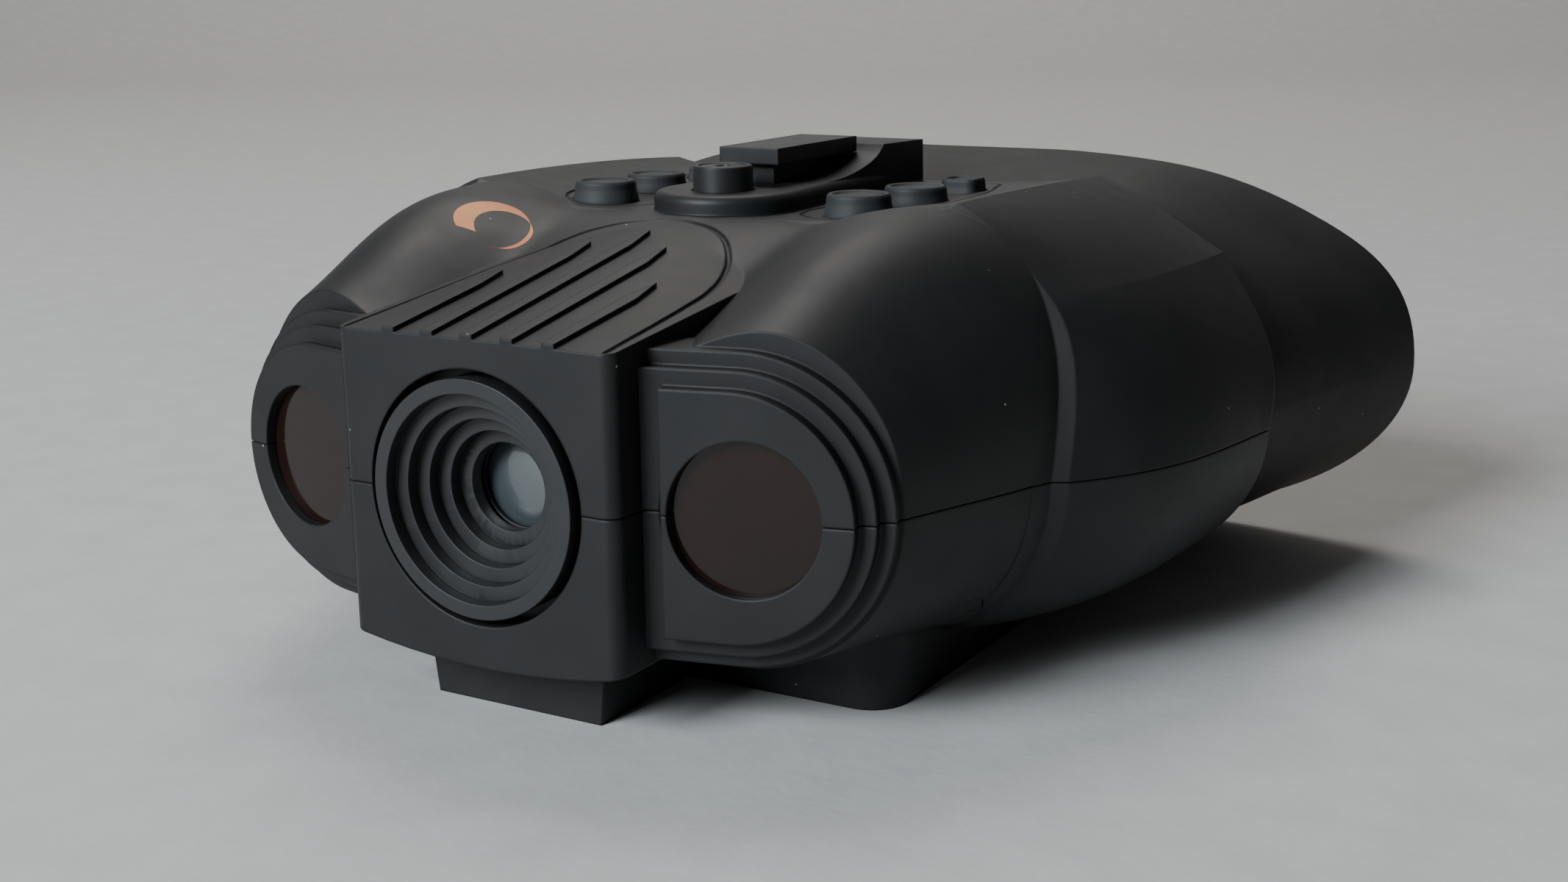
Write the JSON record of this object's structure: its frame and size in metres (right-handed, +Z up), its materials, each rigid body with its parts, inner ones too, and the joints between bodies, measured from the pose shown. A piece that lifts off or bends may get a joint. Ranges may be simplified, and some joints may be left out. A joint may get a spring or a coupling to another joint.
{
  "type": "night vision binocular",
  "caption": "Digital night-vision binocular with a focusing objective in a square nose, infrared windows, top buttons, accessory rail and flared eye hood.",
  "frame": {"origin": "middle of the footprint on the surface that it stands on", "axes": "+Z up, the objective looks along -Y and the user's face is at +Y, so +X is the user's left"},
  "size_m": [0.1692, 0.1418, 0.0697],
  "materials": {
    "shell_plastic": "fine matt moulded texture",
    "ring_plastic": "satin, fine turned lines",
    "barrel_metal": "black anodised",
    "coated_glass": "coated, blue-grey reflections",
    "eyepiece_glass": "polished",
    "ir_glass": "polished, very dark red",
    "reflector_plating": "bright plated",
    "emitter_resin": "clear dome",
    "circuit_board": "solder-masked",
    "sensor_chip": "polished chip",
    "switch_metal": "stamped",
    "button_rubber": "matt, slightly dusty",
    "power_button_plastic": "satin",
    "rail_plastic": "satin, crisp edges",
    "screw_steel": "plated",
    "display_glass": "glossy, switched off",
    "inner_plastic": "matt black",
    "hood_rubber": "soft matt",
    "cell_wrap": "shrink-wrapped",
    "door_plastic": "fine matt moulded texture",
    "insert_brass": "machined",
    "plug_rubber": "matt"
  },
  "bodies": {
    "housing": {"upper_shell": "shell_plastic", "lower_shell": "shell_plastic", "lens_mount": "barrel_metal", "sensor_board": "circuit_board", "image_sensor": "sensor_chip", "ir_window_left": "ir_glass", "ir_reflector_left": "reflector_plating", "ir_lamp_board_left": "circuit_board", "ir_emitter_left": "emitter_resin", "eyepiece_lens_left": "eyepiece_glass", "ir_window_right": "ir_glass", "ir_reflector_right": "reflector_plating", "ir_lamp_board_right": "circuit_board", "ir_emitter_right": "emitter_resin", "eyepiece_lens_right": "eyepiece_glass", "key_board": "circuit_board", "tact_switches": "switch_metal", "accessory_rail": "rail_plastic", "rail_screws": "screw_steel", "main_board": "circuit_board", "display_panel": "display_glass", "display_bracket": "inner_plastic", "light_shroud": "inner_plastic", "eyepiece_frame": "inner_plastic", "eye_hood": "hood_rubber", "battery_tray": "inner_plastic", "battery_front": "cell_wrap", "battery_rear": "cell_wrap", "battery_contacts": "screw_steel", "tripod_insert": "insert_brass", "housing_screws": "screw_steel", "screw_plugs": "plug_rubber"},
    "focus_ring": {"focus_ring": "ring_plastic"},
    "lens_barrel": {"lens_barrel": "barrel_metal", "lens_retaining_ring": "barrel_metal", "objective_lens": "coated_glass", "rear_lens": "coated_glass"},
    "battery_door": {"battery_door": "door_plastic"},
    "power_button": {"power_button": "power_button_plastic"},
    "front_button_left": {"front_button_left": "button_rubber"},
    "front_button_right": {"front_button_right": "button_rubber"},
    "middle_button_left": {"middle_button_left": "button_rubber"},
    "middle_button_right": {"middle_button_right": "button_rubber"},
    "rear_button_left": {"rear_button_left": "button_rubber"},
    "rear_button_right": {"rear_button_right": "button_rubber"}
  },
  "joints": [
    {"name": "focus_turn", "type": "hinge", "parent": "housing", "child": "focus_ring", "pos_m": [0, -0.0701, 0.0307], "axis": [0, 1, 0], "range_deg": [0, 270]},
    {"name": "focus_slide", "type": "slide", "parent": "housing", "child": "lens_barrel", "axis": [0, 1, 0], "range_m": [0, 0.0025]},
    {"name": "door_slide", "type": "slide", "parent": "housing", "child": "battery_door", "axis": [0, 1, 0], "range_m": [0, 0.012]},
    {"name": "power_press", "type": "slide", "parent": "housing", "child": "power_button", "axis": [0, 0, -1], "range_m": [0, 0.0007], "stiffness_N_per_m": 900, "springref_m": -0.0003},
    {"name": "front_button_left_press", "type": "slide", "parent": "housing", "child": "front_button_left", "axis": [0, 0, -1], "range_m": [0, 0.0007], "stiffness_N_per_m": 900, "springref_m": -0.0003},
    {"name": "front_button_right_press", "type": "slide", "parent": "housing", "child": "front_button_right", "axis": [0, 0, -1], "range_m": [0, 0.0007], "stiffness_N_per_m": 900, "springref_m": -0.0003},
    {"name": "middle_button_left_press", "type": "slide", "parent": "housing", "child": "middle_button_left", "axis": [0, 0, -1], "range_m": [0, 0.0007], "stiffness_N_per_m": 900, "springref_m": -0.0003},
    {"name": "middle_button_right_press", "type": "slide", "parent": "housing", "child": "middle_button_right", "axis": [0, 0, -1], "range_m": [0, 0.0007], "stiffness_N_per_m": 900, "springref_m": -0.0003},
    {"name": "rear_button_left_press", "type": "slide", "parent": "housing", "child": "rear_button_left", "axis": [0, 0, -1], "range_m": [0, 0.0007], "stiffness_N_per_m": 900, "springref_m": -0.0003},
    {"name": "rear_button_right_press", "type": "slide", "parent": "housing", "child": "rear_button_right", "axis": [0, 0, -1], "range_m": [0, 0.0007], "stiffness_N_per_m": 900, "springref_m": -0.0003}
  ],
  "couplings": [
    {"joint": "focus_slide", "follows": "focus_turn", "m_per_rad": 0.00053052}
  ]
}
